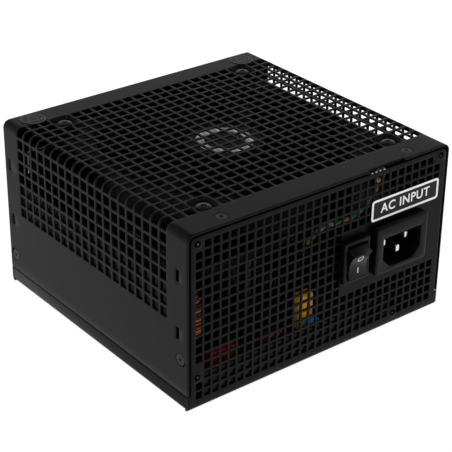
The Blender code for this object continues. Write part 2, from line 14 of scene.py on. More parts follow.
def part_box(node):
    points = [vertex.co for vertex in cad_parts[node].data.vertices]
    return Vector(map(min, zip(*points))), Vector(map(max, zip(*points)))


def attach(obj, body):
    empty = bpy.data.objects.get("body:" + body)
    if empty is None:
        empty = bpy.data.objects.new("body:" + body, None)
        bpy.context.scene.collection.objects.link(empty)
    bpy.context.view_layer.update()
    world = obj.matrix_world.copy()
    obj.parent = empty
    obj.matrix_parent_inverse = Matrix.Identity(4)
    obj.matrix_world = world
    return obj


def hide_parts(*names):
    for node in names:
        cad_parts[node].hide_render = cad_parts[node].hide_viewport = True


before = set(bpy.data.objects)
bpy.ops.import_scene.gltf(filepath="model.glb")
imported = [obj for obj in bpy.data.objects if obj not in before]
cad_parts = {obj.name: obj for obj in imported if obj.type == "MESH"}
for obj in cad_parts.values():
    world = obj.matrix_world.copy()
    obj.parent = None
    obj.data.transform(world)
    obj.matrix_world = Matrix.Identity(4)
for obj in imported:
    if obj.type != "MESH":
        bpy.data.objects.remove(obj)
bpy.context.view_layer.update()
MM = 0.001


def mm_box(node):
    """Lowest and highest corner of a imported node, in millimetres."""
    low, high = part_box(node)
    return low / MM, high / MM


def extent(node):
    """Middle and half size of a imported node, in millimetres."""
    low, high = mm_box(node)
    return (low + high) / 2, (high - low) / 2


def middle(node):
    return extent(node)[0]


# Casing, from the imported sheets
COVER_LOW, COVER_HIGH = mm_box("top_cover")
X_SIDE = COVER_HIGH.x
Y_REAR = COVER_LOW.y          # outside of the mains panel
Y_FRONT = COVER_HIGH.y        # outside of the output panel
TOP = COVER_HIGH.z
FLANK_LOW = COVER_LOW.z
SHEET = 1.0
BEND = 3.5                    # outside radius of the cover's bends
STRIP_TOP = FLANK_LOW - 0.3   # top of the chassis strip that shows below the cover
X_INNER = X_SIDE - SHEET - 0.2
PANEL_TOP = TOP - SHEET - 0.2
WALL_TOP = 57.0               # top of the chassis walls inside the flanks
FOOT = 2.0                    # outside radius of the chassis's bottom bends
SEAM = 0.5                    # extra gap between the end panels and the cover round them
EDGE_ROUND = 0.25             # rounding of punched edges under their coating

# Square mesh of the cover
COVER_PITCH = 35.0 / 6
COVER_HOLE = 4.4
COVER_SHEET = 0.8
COVER_COLUMNS = 23
COVER_ROWS = 20
COLUMN_MIDDLE = 1.1
ROW_MIDDLE = 1.2
FLANK_ROWS = 7
FLANK_FIRST = 42.2            # height of the lowest row of holes in a flank
FLANK_SLOTS = ((-64.0, 63.8), (-64.0, 36.4), (66.3, 63.8), (66.3, 35.2))    # y, z
SLOT_W = 2.0
SLOT_H = 5.6
RIGHT_SLOT = 6.1              # length of the slots that run on to the right-hand bend
RIGHT_FLANK_SHIFT = (-2.0, 1.5)    # y and z by which the right flank's mesh is set off from the left's
SLOT_IN_BEND = 1.7            # stretch of the right bend that the top's slots reach into
REAR_TAKE_UP = 3.0            # stretches of the flank's margins that take up its shift in y
FRONT_TAKE_UP = 2.5
NOTCH = (24.5, 46.0)          # x of the notch in the cover's edge over the mains panel
PAD_HALF = 5.5                # dished square round each fan screw
PAD_DEPTH = 1.7
SCREW_SEAT = ((3.5, 0.0), (3.1, 0.0), (3.0, -0.1), (3.0, -0.8), (1.9, -0.8))    # radius, height
SEAT_HALF = 3.8               # half the grid square that a screw's seat fills
FLANK_LINES = (3.6, 12.2, 20.5, 26.0)    # extra grid lines round a flank's screws, from its edge up
MARGIN_LINES = (-69.9, -68.8, -61.0, 70.7)    # extra grid lines round the screws of the end margins
NOTCH_DEPTH = 1.4
NOTCH_MARGIN = 0.8            # to the extra grid lines beside the notch

# Square mesh of the mains panel
PANEL_PITCH = 4.5
PANEL_HOLE = 3.3
PANEL_COLUMNS = 31
PANEL_ROWS = 17
PANEL_FIRST = (-68.1, 6.7)    # x and z of the first hole
BOLTS = ((-69.0, 79.8), (69.0, 79.8), (-69.0, 15.9), (45.0, 6.0))
BOLT_R = 1.5
BOLT_EDGE = ((2.15, 0.0), (2.05, 0.06), (BOLT_R, 0.0))
BOLT_HALF = 2.2

INLET = middle("inlet_housing")
SWITCH = middle("switch_frame")
FAN = middle("fan_frame")
HUB_TOP = mm_box("fan_rotor")[1].z
SOCKETS = {
    "board_socket_18": 9, "board_socket_10": 5, "cpu_socket_1": 4, "cpu_socket_2": 4,
    "graphics_socket_1": 4, "graphics_socket_2": 4, "drive_socket": 3,
}
CONTACT_PITCH = 4.2


# Materials

CLOUD = 9.0                   # size of the cloudy patches in a surface's colour
UNEVEN = 0.12                 # share by which roughness varies


def nodes_of(mat):
    tree = mat.node_tree
    shader = tree.nodes["Principled BSDF"]
    place = tree.nodes.new("ShaderNodeTexCoord").outputs["Object"]
    return tree, shader, place


def feed(tree, node, inputs):
    """Link the node's inputs where a socket is given, and set them where a value is."""
    for name, value in inputs.items():
        if isinstance(value, bpy.types.NodeSocket):
            tree.links.new(value, node.inputs[name])
        else:
            node.inputs[name].default_value = value
    return node


def add_node(tree, kind, inputs, **settings):
    node = tree.nodes.new("ShaderNode" + kind)
    for name, value in settings.items():
        setattr(node, name, value)
    return feed(tree, node, inputs)


def noise(tree, place, size_mm, detail=2.0):
    """Fine noise whose features are about size_mm across."""
    inputs = {"Scale": 1.0 / (size_mm * MM), "Detail": detail, "Vector": place}
    return add_node(tree, "TexNoise", inputs).outputs["Fac"]


def spread(tree, value, low, high):
    """Map the middle stretch of a noise value to low to high."""
    inputs = {"From Min": 0.3, "From Max": 0.7, "To Min": low, "To Max": high, "Value": value}
    return add_node(tree, "MapRange", inputs).outputs["Result"]


def blend_colours(tree, value, first, second):
    inputs = {"A": (*first, 1.0), "B": (*second, 1.0), "Factor": value}
    return add_node(tree, "Mix", inputs, data_type="RGBA").outputs["Result"]


def surface(name, colour, roughness, *, grain, metallic=0.0, specular=0.5, depth=0.02, variation=0.15):
    """A finished surface: cloudy colour, uneven roughness and a fine grain of grain mm."""
    mat = bpy.data.materials.new(name)
    mat.use_nodes = True
    tree, shader, place = nodes_of(mat)
    cloud = spread(tree, noise(tree, place, CLOUD, 4.0), 0.0, 1.0)
    dark = [c * (1 - variation) for c in colour]
    light = [min(1.0, c * (1 + variation)) for c in colour]
    fine = noise(tree, place, grain)
    feed(tree, shader, {
        "Metallic": metallic,
        "Specular IOR Level": specular,
        "Base Color": blend_colours(tree, cloud, dark, light),
        "Roughness": spread(tree, fine, roughness * (1 - UNEVEN), min(1.0, roughness * (1 + UNEVEN))),
        "Normal": add_node(tree, "Bump", {"Distance": depth * MM, "Height": fine}).outputs["Normal"],
    })
    return mat


def board_material(name, colour, trace):
    """Solder mask over copper tracks that run in straight steps."""
    mat = surface(name, colour, 0.35, specular=0.4, grain=0.6, depth=0.01)
    tree, shader, place = nodes_of(mat)
    tracks = add_node(tree, "TexBrick", {
        "Scale": 140.0,
        "Mortar Size": 0.09,
        "Color1": (*colour, 1.0),
        "Color2": (*[c * 0.8 for c in colour], 1.0),
        "Mortar": (*trace, 1.0),
        "Vector": place,
    })
    feed(tree, shader, {"Base Color": tracks.outputs["Color"]})
    return mat


def striped_material(name, first, second, width_mm):
    """Two colours in bands that wind along a wire."""
    mat = surface(name, first, 0.4, grain=0.3)
    tree, shader, place = nodes_of(mat)
    bands = add_node(tree, "TexWave", {"Scale": 0.3 / (width_mm * MM), "Vector": place},
                     bands_direction="DIAGONAL")
    edge = add_node(tree, "Math", {0: bands.outputs["Fac"], 1: 0.62}, operation="GREATER_THAN")
    feed(tree, shader, {"Base Color": blend_colours(tree, edge.outputs["Value"], first, second)})
    return mat


COAT = surface("powder_coat", (0.0025, 0.0025, 0.0026), 0.36, specular=0.08, grain=0.45, depth=0.02)
# Near-black insulating film, also used for the painted-shade sheets inside the flanks.
FILM_AND_SHADE = surface("insulating_film_and_shade", (0.002, 0.002, 0.0021), 0.5, specular=0.03, grain=0.8)
BLACK_ZINC = surface("black_zinc", (0.01, 0.01, 0.0105), 0.28, metallic=0.3, specular=0.15, grain=0.5,
                     depth=0.01)
BARE_STEEL = surface("bare_steel", (0.55, 0.55, 0.56), 0.28, metallic=1.0, grain=0.5, depth=0.01)
NICKEL = surface("nickel", (0.72, 0.7, 0.66), 0.24, metallic=1.0, grain=0.5, depth=0.005)
BRASS = surface("brass", (0.2, 0.14, 0.06), 0.35, metallic=1.0, grain=0.6, depth=0.01)
COPPER = surface("enamelled_copper", (0.42, 0.11, 0.035), 0.3, metallic=0.7, grain=0.6, depth=0.01)
DARK_COPPER = surface("dark_enamel", (0.012, 0.009, 0.007), 0.35, metallic=0.5, grain=0.6, depth=0.01)
ALUMINIUM = surface("black_anodised", (0.025, 0.025, 0.027), 0.4, metallic=0.6, grain=0.7, depth=0.01)
MOULDED = surface("moulded_plastic", (0.002, 0.002, 0.0021), 0.34, specular=0.11, grain=0.35, depth=0.015)
SMOOTH = surface("smooth_plastic", (0.002, 0.002, 0.0021), 0.28, specular=0.16, grain=0.5, depth=0.005)
FAN_PLASTIC = surface("fan_plastic", (0.0012, 0.0012, 0.0013), 0.4, specular=0.06, grain=0.5, depth=0.01)
WHITE_INK = surface("white_ink", (0.82, 0.82, 0.82), 0.5, specular=0.3, grain=0.4, depth=0.005,
                    variation=0.03)
SILVER_INK = surface("silver_ink", (0.9, 0.9, 0.89), 0.3, metallic=0.9, grain=0.4, depth=0.005,
                     variation=0.05)
BLACK_INK = surface("black_ink", (0.008, 0.008, 0.0075), 0.4, specular=0.12, grain=0.4, depth=0.005)
SEAL_FILM = surface("seal_film", (0.003, 0.003, 0.0028), 0.34, specular=0.1, grain=0.6, depth=0.01)
SEAL_LINE = surface("seal_line", (0.13, 0.13, 0.115), 0.35, specular=0.3, grain=0.5, depth=0.005)
MASK = board_material("solder_mask", (0.002, 0.009, 0.005), (0.006, 0.024, 0.012))
DARK_MASK = board_material("dark_solder_mask", (0.003, 0.0035, 0.003), (0.006, 0.008, 0.006))
FERRITE = surface("ferrite", (0.035, 0.035, 0.04), 0.65, specular=0.3, grain=0.5, depth=0.04)
TAPE = surface("winding_tape", (0.62, 0.42, 0.05), 0.35, grain=0.8)
ORANGE = surface("orange_case", (1.0, 0.4, 0.02), 0.35, specular=0.2, grain=0.6)
RED = surface("red_case", (0.27, 0.004, 0.018), 0.35, specular=0.15, grain=0.6)
BLUE = surface("blue_case", (0.03, 0.27, 0.8), 0.3, specular=0.35, grain=0.6)
SLEEVE = surface("shrink_sleeve", (0.02, 0.02, 0.024), 0.3, specular=0.4, grain=0.8)
EARTH = striped_material("earth_insulation", (0.006, 0.09, 0.06), (0.22, 0.16, 0.03), 4.0)
LIVE = surface("live_insulation", (0.12, 0.04, 0.02), 0.4, grain=0.3)
LEAD = surface("lead_insulation", (0.015, 0.015, 0.015), 0.4, grain=0.3)


# Mesh tools

def mesh_of(name, bm):
    """A mesh in metres from millimetre bmesh work."""
    bmesh.ops.scale(bm, vec=(MM, MM, MM), verts=bm.verts)
    mesh = bpy.data.meshes.new(name)
    bm.to_mesh(mesh)
    bm.free()
    return mesh


def smooth(mesh, degrees=35.0):
    mesh.shade_smooth()
    mesh.set_sharp_from_angle(angle=math.radians(degrees))


def link(name, data):
    obj = bpy.data.objects.new(name, data)
    bpy.context.scene.collection.objects.link(obj)
    return obj


def shape(name, bm):
    """An object in the scene from millimetre bmesh work."""
    return link(name, mesh_of(name, bm))


def evaluated(obj):
    """The mesh that obj's modifiers or curve settings make."""
    graph = bpy.context.evaluated_depsgraph_get()
    return bpy.data.meshes.new_from_object(obj.evaluated_get(graph))


def applied(obj):
    """Give obj the mesh that its modifiers make."""
    mesh = evaluated(obj)
    obj.modifiers.clear()
    obj.data = mesh
    smooth(mesh)
    return obj


def mesh_from(guide):
    """The mesh of a curve or text object, which goes away."""
    mesh = evaluated(guide)
    bpy.data.objects.remove(guide, do_unlink=True)
    return mesh


def finished(obj, mat, body="casing", stands_for=()):
    """Give a piece its material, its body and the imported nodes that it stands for."""
    obj.data.materials.clear()
    obj.data.materials.append(mat)
    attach(obj, body)
    if stands_for:
        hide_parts(*stands_for)


def piece(name, bm, mat, body="casing", stands_for=(), crease=35.0):
    """A finished piece from millimetre bmesh work, smooth but for edges of more than crease degrees."""
    obj = shape(name, bm)
    smooth(obj.data, crease)
    finished(obj, mat, body, stands_for)


def thickened(obj, thickness, offset=-1.0):
    """Give a surface a thickness: behind its face by default, and half to each side at offset 0."""
    mod = obj.modifiers.new("Thickness", "SOLIDIFY")
    mod.thickness = thickness * MM
    mod.offset = offset
    return obj


def rounded(obj, width, segments, angle=30.0):
    mod = obj.modifiers.new("Round", "BEVEL")
    mod.width = width * MM
    mod.segments = segments
    mod.limit_method = "ANGLE"
    mod.angle_limit = math.radians(angle)
    mod.use_clamp_overlap = False
    return obj


def carved(obj, *cutters):
    """Cut the cutters out of obj and remove them."""
    for cutter in cutters:
        mod = obj.modifiers.new("Cut", "BOOLEAN")
        mod.operation = "DIFFERENCE"
        mod.solver = "EXACT"
        mod.object = cutter
    applied(obj)
    for cutter in cutters:
        bpy.data.objects.remove(cutter, do_unlink=True)
    return obj


def add_box(bm, low, high, radius, segments=2):
    """A box with rounded edges."""
    low = Vector(low)
    high = Vector(high)
    part = bmesh.new()
    bmesh.ops.create_cube(part, size=1.0,
                          matrix=Matrix.Translation((low + high) / 2) @ Matrix.Diagonal((*(high - low), 1.0)))
    bmesh.ops.bevel(part, geom=part.edges[:], offset=radius, segments=segments, profile=0.5,
                    affect="EDGES", clamp_overlap=True)
    append(bm, part)


def append(bm, part, matrix=None):
    """Add part's mesh to bm, moved by matrix, and free it."""
    if matrix is not None:
        part.transform(matrix)
    spare = bpy.data.meshes.new("spare")
    part.to_mesh(spare)
    part.free()
    bm.from_mesh(spare)
    bpy.data.meshes.remove(spare)


def circle_ring(centre, radius, height, points=24):
    turns = (2 * math.pi * k / points for k in range(points))
    return [(centre[0] + radius * math.cos(a), centre[1] + radius * math.sin(a), height) for a in turns]


def add_turned(bm, profile, segments, matrix=None):
    """Turn a profile of (radius, height), which starts and ends on the axis or closes on itself."""
    part = bmesh.new()
    loops = []
    for radius, height in profile:
        if radius < 1e-6:
            loops.append([part.verts.new((0, 0, height))])
        else:
            ring = circle_ring((0, 0), radius, height, segments)
            loops.append([part.verts.new(p) for p in ring])
    closed = profile[0][0] > 1e-6
    pairs = list(zip(loops, loops[1:])) + ([(loops[-1], loops[0])] if closed else [])
    for first, second in pairs:
        for k in range(segments):
            corners = [first[k % len(first)], first[(k + 1) % len(first)],
                       second[(k + 1) % len(second)], second[k % len(second)]]
            corners = [v for i, v in enumerate(corners) if v not in corners[:i]]
            if len(corners) > 2:
                part.faces.new(corners)
    bmesh.ops.recalc_face_normals(part, faces=part.faces)
    append(bm, part, matrix)


def loft(bm, loops):
    """Faces from each loop of vertices to the next."""
    for first, second in zip(loops, loops[1:]):
        for k in range(len(first)):
            n = (k + 1) % len(first)
            bm.faces.new((first[k], first[n], second[n], second[k]))


def add_prism(bm, outline, low, high, matrix):
    """Extrude a flat outline of (u, v) from low to high along w."""
    part = bmesh.new()
    ends = [[part.verts.new((u, v, w)) for u, v in outline] for w in (low, high)]
    part.faces.new(reversed(ends[0]))
    part.faces.new(ends[1])
    loft(part, ends)
    bmesh.ops.recalc_face_normals(part, faces=part.faces)
    append(bm, part, matrix)


def prism(name, outline, low, high, matrix):
    bm = bmesh.new()
    add_prism(bm, outline, low, high, matrix)
    return shape(name, bm)


def arc(cx, cy, radius, start, end, steps):
    """Points of an arc, angles in degrees."""
    angles = (math.radians(start + (end - start) * i / steps) for i in range(steps + 1))
    return [(cx + radius * math.cos(a), cy + radius * math.sin(a)) for a in angles]


def rounded_rectangle(cx, cy, half_w, half_h, radius, steps=5):
    points = []
    for i, j, start in ((1, 1, 0), (-1, 1, 90), (-1, -1, 180), (1, -1, 270)):
        corner = (cx + i * (half_w - radius), cy + j * (half_h - radius))
        points += arc(*corner, radius, start, start + 90, steps)
    return points


def turned(degrees, axis):
    return Matrix.Rotation(math.radians(degrees), 4, axis)


TO_XZ = Matrix(((1, 0, 0, 0), (0, 0, -1, 0), (0, 1, 0, 0), (0, 0, 0, 1)))     # u, v, w to x, z, -y
TO_YZ = Matrix(((0, 0, 1, 0), (1, 0, 0, 0), (0, 1, 0, 0), (0, 0, 0, 1)))      # u, v, w to y, z, x


# Perforated sheets

def bridge(bm, outer, inner, centre):
    """Triangles between two rings of points round a shared centre."""
    def angle(vert):
        return math.atan2(vert.co.y - centre[1], vert.co.x - centre[0]) % (2 * math.pi)

    outer = sorted(outer, key=angle)
    inner = sorted(inner, key=angle)
    outer_angles = [angle(v) for v in outer] + [angle(outer[0]) + 2 * math.pi]
    inner_angles = [angle(v) for v in inner] + [angle(inner[0]) + 2 * math.pi]
    i = 0
    j = 0
    while i < len(outer) or j < len(inner):
        a = outer[i % len(outer)]
        b = inner[j % len(inner)]
        if j >= len(inner) or (i < len(outer) and outer_angles[i + 1] <= inner_angles[j + 1]):
            i += 1
            bm.faces.new((a, outer[i % len(outer)], b))
        else:
            j += 1
            bm.faces.new((a, inner[j % len(inner)], b))


def span(lines, low, high):
    """Indices of the lines that close in the stretch from low to high."""
    start = max(i for i, value in enumerate(lines) if value <= low + 1e-6)
    end = min(i for i, value in enumerate(lines) if value >= high - 1e-6)
    return start, end


def sheet(name, u_lines, v_lines, is_open, features, place, thickness=SHEET):
    """A sheet laid out flat on a grid of lines, opened, dished, bent into place and thickened.

    is_open(u, v) says whether the cell round a point is punched out. A feature is a centre, half the
    side of the square that it fills, and rings of (u, v, height) points from the rim to its hole.
    """
    u_lines = sorted(set(round(u, 4) for u in u_lines))
    v_lines = sorted(set(round(v, 4) for v in v_lines))
    bm = bmesh.new()
    grid = {}

    def vert(i, j):
        if (i, j) not in grid:
            grid[i, j] = bm.verts.new((u_lines[i], v_lines[j], 0.0))
        return grid[i, j]

    blocks = []
    for (u, v), half, rings in features:
        blocks.append((*span(u_lines, u - half, u + half), *span(v_lines, v - half, v + half)))
    for i in range(len(u_lines) - 1):
        for j in range(len(v_lines) - 1):
            if any(i0 <= i < i1 and j0 <= j < j1 for i0, i1, j0, j1 in blocks):
                continue
            if is_open((u_lines[i] + u_lines[i + 1]) / 2, (v_lines[j] + v_lines[j + 1]) / 2):
                continue
            bm.faces.new((vert(i, j), vert(i + 1, j), vert(i + 1, j + 1), vert(i, j + 1)))
    for (centre, half, rings), (i0, i1, j0, j1) in zip(features, blocks):
        rim = [vert(i, j) for i in range(i0, i1 + 1) for j in range(j0, j1 + 1)
               if i in (i0, i1) or j in (j0, j1)]
        loops = [[bm.verts.new(p) for p in ring] for ring in rings]
        bridge(bm, rim, loops[0], centre)
        loft(bm, loops)
    for v in bm.verts:
        v.co = Vector(place(v.co.x, v.co.y, v.co.z))
    obj = thickened(shape(name, bm), thickness)
    return applied(rounded(obj, EDGE_ROUND, 2, 50))


def ringed(centre, half, steps):
    """A round feature of a sheet, from (radius, height) steps."""
    return centre, half, [circle_ring(centre, radius, height) for radius, height in steps]


def pad(screw, centre):
    """The dished square under a fan screw; its rim bulges where the screw head comes near it."""
    points = 48

    def ring(half, bulge, height):
        ring_points = []
        for k in range(points):
            turn = 2 * math.pi * k / points
            step = Vector((math.cos(turn), math.sin(turn)))
            reach = bulge
            while True:
                x, y = Vector(screw) + step * reach - Vector(centre)
                if abs(x / half) ** 5 + abs(y / half) ** 5 >= 1:
                    break
                reach += 0.05
            ring_points.append((screw[0] + step.x * reach, screw[1] + step.y * reach, height))
        return ring_points

    steps = ((0.2, 4.6, 0.0), (0.0, 4.45, -0.18), (-0.35, 4.2, 0.25 - PAD_DEPTH), (-0.65, 3.95, -PAD_DEPTH))
    rings = [ring(PAD_HALF + outset, bulge, height) for outset, bulge, height in steps]
    rings += [circle_ring(screw, radius, -PAD_DEPTH, points) for radius in (3.2, 2.3)]
    return centre, PAD_HALF + 0.7, rings


def in_any(boxes, u, v):
    return any(a < u < b and c < v < d for a, b, c, d in boxes)


def edges(boxes, first=0):
    """Two edges of each box, from the first given on: 0 for its edges in u and 2 for those in v."""
    return [edge for box in boxes for edge in box[first:first + 2]]


def gap_by(holes, value):
    """The middle between two neighbours of evenly set holes that is nearest to value."""
    return min(((a + b) / 2 for a, b in zip(holes, holes[1:])), key=lambda gap: abs(gap - value))


def cover():
    """Fan side and both flanks in one bent, punched sheet."""
    rise = TOP - BEND - FLANK_LOW
    turn = BEND * math.pi / 2
    across = 2 * (X_SIDE - BEND)
    total = 2 * (rise + turn) + across

    def fade(distance, length):
        """1 up to distance 0, and from there down to 0 over length."""
        return min(1.0, max(0.0, 1.0 - distance / length))

    def drift(along, v):
        """How far the right flank's mesh has moved in y; the bend and the margins take it up."""
        below_slots = fade(along - rise, turn - SLOT_IN_BEND)
        off_rear = fade(v_open[0][0] - bar - v, REAR_TAKE_UP)
        off_front = fade(v - v_open[-1][1] - bar, FRONT_TAKE_UP)
        return RIGHT_FLANK_SHIFT[0] * below_slots * min(off_rear, off_front)

    def wrap(u, v, height):
        side = -1 if u < total / 2 else 1
        along = min(u, total - u)
        if side == 1:
            v += drift(along, v)
        if along <= rise:
            return side * (X_SIDE + height), v, FLANK_LOW + along
        if along <= rise + turn:
            a = (along - rise) / BEND
            reach = BEND + height
            return side * (X_SIDE - BEND + reach * math.cos(a)), v, TOP - BEND + reach * math.sin(a)
        return side * (X_SIDE - BEND - (along - rise - turn)), v, TOP + height

    def top_u(x):
        return rise + turn + across / 2 + x

    half = COVER_HOLE / 2
    bar = COVER_PITCH - COVER_HOLE
    columns = [COLUMN_MIDDLE + COVER_PITCH * (k - COVER_COLUMNS / 2) for k in range(COVER_COLUMNS)]
    rows = [ROW_MIDDLE + COVER_PITCH * (k - (COVER_ROWS - 1) / 2) for k in range(COVER_ROWS)]
    flank = [FLANK_FIRST + COVER_PITCH * k - FLANK_LOW for k in range(FLANK_ROWS)]
    u_open = [(z - half, z + half) for z in flank]
    bend_start = flank[-1] + half + bar
    u_open += [(bend_start, top_u(columns[0]) - half - bar)]
    u_open += [(top_u(x) - half, top_u(x) + half) for x in columns]
    right_slot = top_u(columns[-1]) + half + bar
    u_open += [(right_slot, right_slot + RIGHT_SLOT)]
    right_top = total - RIGHT_FLANK_SHIFT[1]
    u_open += [(right_top - z - half, right_top - z + half) for z in flank]
    v_open = [(y - half, y + half) for y in rows]
    slots = []
    for y, z in FLANK_SLOTS:
        low = z - SLOT_H / 2 - FLANK_LOW
        slots.append((low, low + SLOT_H, y - SLOT_W / 2, y + SLOT_W / 2))
        slots.append((total - low - SLOT_H, total - low, y - SLOT_W / 2, y + SLOT_W / 2))
    slots.append((top_u(NOTCH[0]), top_u(NOTCH[1]), Y_REAR - 1, Y_REAR + NOTCH_DEPTH))

    def is_open(u, v):
        in_mesh = any(a < u < b for a, b in u_open) and any(a < v < b for a, b in v_open)
        return in_mesh or in_any(slots, u, v)

    bends = [rise + turn * k / 8 for k in range(9)]
    one_side = [0.0, *FLANK_LINES, *bends]
    u_lines = one_side + [total - u for u in one_side] + edges(u_open) + edges(slots)
    u_lines += [top_u(NOTCH[0]) - NOTCH_MARGIN, top_u(NOTCH[1]) + NOTCH_MARGIN]
    v_lines = [Y_REAR, *MARGIN_LINES, rows[0] - half - bar, rows[-1] + half + bar, Y_FRONT] + edges(v_open)
    v_lines += [edge for edge in edges(slots, 2) if edge > Y_REAR]

    features = []
    for k in range(1, 5):
        screw = middle(f"fan_screw_{k}")
        square = (top_u(gap_by(columns, screw.x)), gap_by(rows, screw.y))
        features.append(pad((top_u(screw.x), screw.y), square))
    for name in ("cover_screw_1", "cover_screw_2", "seal_screw_1", "seal_screw_2"):
        at = middle(name)
        features.append(ringed((top_u(at.x), at.y), SEAT_HALF, SCREW_SEAT))
    for side in ("left", "right"):
        for k in (1, 2):
            at = middle(f"side_screw_{side}_{k}")
            u = at.z - FLANK_LOW
            features.append(ringed((u if side == "left" else total - u, at.y), SEAT_HALF, SCREW_SEAT))
    obj = sheet("cover_sheet", u_lines, v_lines, is_open, features, wrap, COVER_SHEET)
    finished(obj, COAT, stands_for=("top_cover",))


def round_corner(x, z, centre_x, centre_z, radius):
    """Draw a square corner in to a round one; points inside the corner square move in step."""
    dx = abs(x) - centre_x
    dz = (z - centre_z) * (1 if centre_z > radius else -1)
    if dx <= 0 or dz <= 0:
        return x, z
    share = max(dx, dz) / math.hypot(dx, dz)
    return math.copysign(centre_x + dx * share, x), centre_z + (z - centre_z) * share


def end_panel(name, direction, u_lines, v_lines, is_open, features):
    """One end panel of the chassis, with its bottom bent in towards the base."""
    corner = 3.0
    face = Y_REAR if direction < 0 else Y_FRONT
    edge = X_INNER - SEAM
    upper = PANEL_TOP - SEAM

    def stand(u, v, height):
        x = u if direction < 0 else -u
        if v > upper - corner:
            x, v = round_corner(x, v, edge - corner, upper - corner, corner)
        if v < FOOT:
            turn = (FOOT - v) / FOOT * math.pi / 2
            reach = FOOT + height
            return x, face - direction * (FOOT - reach * math.cos(turn)), FOOT - reach * math.sin(turn)
        return x, face + direction * height, v

    u_lines = u_lines + [side * x for x in (X_SIDE, edge, edge - 1.2, edge - corner) for side in (-1, 1)]
    v_lines = v_lines + [0.0, 0.5, 1.0, 1.5, FOOT, STRIP_TOP, upper, upper - 1.2, upper - corner]

    def cell_open(u, v):
        if abs(u) > edge and v > STRIP_TOP:
            return True
        return is_open(u, v)

    obj = sheet(name, u_lines, v_lines, cell_open, features, stand)
    finished(obj, COAT, stands_for=("bottom_chassis",))


def mains_panel():
    """The punched panel round the inlet and switch."""
    half = PANEL_HOLE / 2
    columns = [PANEL_FIRST[0] + PANEL_PITCH * k for k in range(PANEL_COLUMNS)]
    rows = [PANEL_FIRST[1] + PANEL_PITCH * k for k in range(PANEL_ROWS)]
    last = PANEL_COLUMNS - 1
    last_open = {row: 17 for row in range(5, 12)} | {12: 21, 13: 21}    # where rows stop short
    blank = {(0, PANEL_ROWS - 1), (last, PANEL_ROWS - 1), (0, 2), (0, 3), (25, 0)}    # round the case bolts
    cutouts = []
    for part, half_w, half_h in ((INLET, 14.2, 10.6), (SWITCH, 6.9, 9.6)):
        cutouts.append((part.x - half_w, part.x + half_w, part.z - half_h, part.z + half_h))

    def is_open(u, v):
        if in_any(cutouts, u, v):
            return True
        for column, x in enumerate(columns):
            for row, z in enumerate(rows):
                if abs(u - x) < half and abs(v - z) < half:
                    return column <= last_open.get(row, last) and (column, row) not in blank
        return False

    u_lines = [x + side for x in columns for side in (-half, half)] + edges(cutouts)
    v_lines = [z + side for z in rows for side in (-half, half)] + edges(cutouts, 2)
    features = [ringed(centre, BOLT_HALF, BOLT_EDGE) for centre in BOLTS]
    end_panel("mains_panel_sheet", -1, u_lines, v_lines, is_open, features)


def bolt_holes():
    """Tapped collars behind the case-bolt holes, each with a bare-steel patch at the lower right of its
    thread that is a painted glint.
    """
    depth = 3.4
    half_pitch = 0.4
    threads = bmesh.new()
    glint_patches = bmesh.new()
    for x, z in BOLTS:
        seat = Matrix.Translation((x, Y_REAR + 0.95, z)) @ turned(-90, "X")
        profile = [(BOLT_R + 1.1, 0.0), (BOLT_R + 1.1, depth)]
        profile += [(BOLT_R + (0.0 if k % 2 else 0.25), depth - half_pitch * k) for k in range(9)]
        add_turned(threads, profile, 24, seat)
        # A bare-steel patch set only at the lower right of each hole, where the highlight falls: a painted
        # glint.
        glint = [*arc(0, 0, BOLT_R + 0.1, 25, 65, 3), *arc(0, 0, BOLT_R - 0.7, 65, 25, 3)]
        add_prism(glint_patches, glint, -0.25, 0.05, seat)
    piece("bolt_threads", threads, COAT, crease=50)
    piece("bolt_glint_patches", glint_patches, BARE_STEEL, crease=50)


def output_panel():
    """The plain panel that the modular sockets look out of."""
    cutouts = []
    for name in SOCKETS:
        low, high = mm_box(name)
        cutouts.append((-high.x - 0.3, -low.x + 0.3, low.z - 0.3, high.z + 0.3))

    def is_open(u, v):
        return in_any(cutouts, u, v)

    end_panel("output_panel_sheet", 1, edges(cutouts), edges(cutouts, 2), is_open, [])


def tray():
    """Base, bottom strips and the side walls that stand inside the cover."""
    bm = bmesh.new()
    reach = Y_FRONT - FOOT
    section = [(0.0, 0.0), *arc(X_SIDE - FOOT, FOOT, FOOT, -90, 0, 5), (X_SIDE, STRIP_TOP - 0.5),
               (X_SIDE - 0.5, STRIP_TOP), (X_INNER, STRIP_TOP + 0.3), (X_INNER, WALL_TOP)]
    outline = [(-x, z) for x, z in reversed(section)] + section[1:]
    ends = []
    for side in (-1, 1):
        drops = [max(0.0, FOOT - z) for x, z in outline]
        ends.append([bm.verts.new((x, side * (reach - SHEET + math.sqrt(FOOT ** 2 - drop ** 2)), z))
                     for (x, z), drop in zip(outline, drops)])
    for k in range(len(outline) - 1):
        bm.faces.new((ends[0][k + 1], ends[0][k], ends[1][k], ends[1][k + 1]))
    obj = thickened(shape("tray_sheet", bm), SHEET)
    finished(applied(rounded(obj, EDGE_ROUND, 2)), COAT, stands_for=("bottom_chassis",))


def panel_flanges():
    """Flanges and lugs turned in from the end panels, and the base's rear lip."""
    bm = bmesh.new()
    gap = (NOTCH[0] - 0.5, NOTCH[1] + 0.5)
    for direction in (-1, 1):
        low, high = sorted((direction * (Y_FRONT - 0.9), direction * (Y_FRONT - 9.5)))
        inset = 2.4 if direction < 0 else 0.0    # clear of the notch
        for start, end, y in ((-66.0, gap[0], low), (*gap, low + inset), (gap[1], 66.0, low)):
            add_box(bm, (start, y, 81.7), (end, high, 82.7), 0.2)
        for side in (-1, 1):
            inner, outer = sorted((side * 71.3, side * 72.2))
            add_box(bm, (inner, low, WALL_TOP - 1.0), (outer, high, 79.0), 0.2)
    add_box(bm, (-65.9, Y_REAR + 1.1, 1.3), (43.6, Y_REAR + 1.9, 16.0), 0.2)
    piece("panel_flanges", bm, COAT)


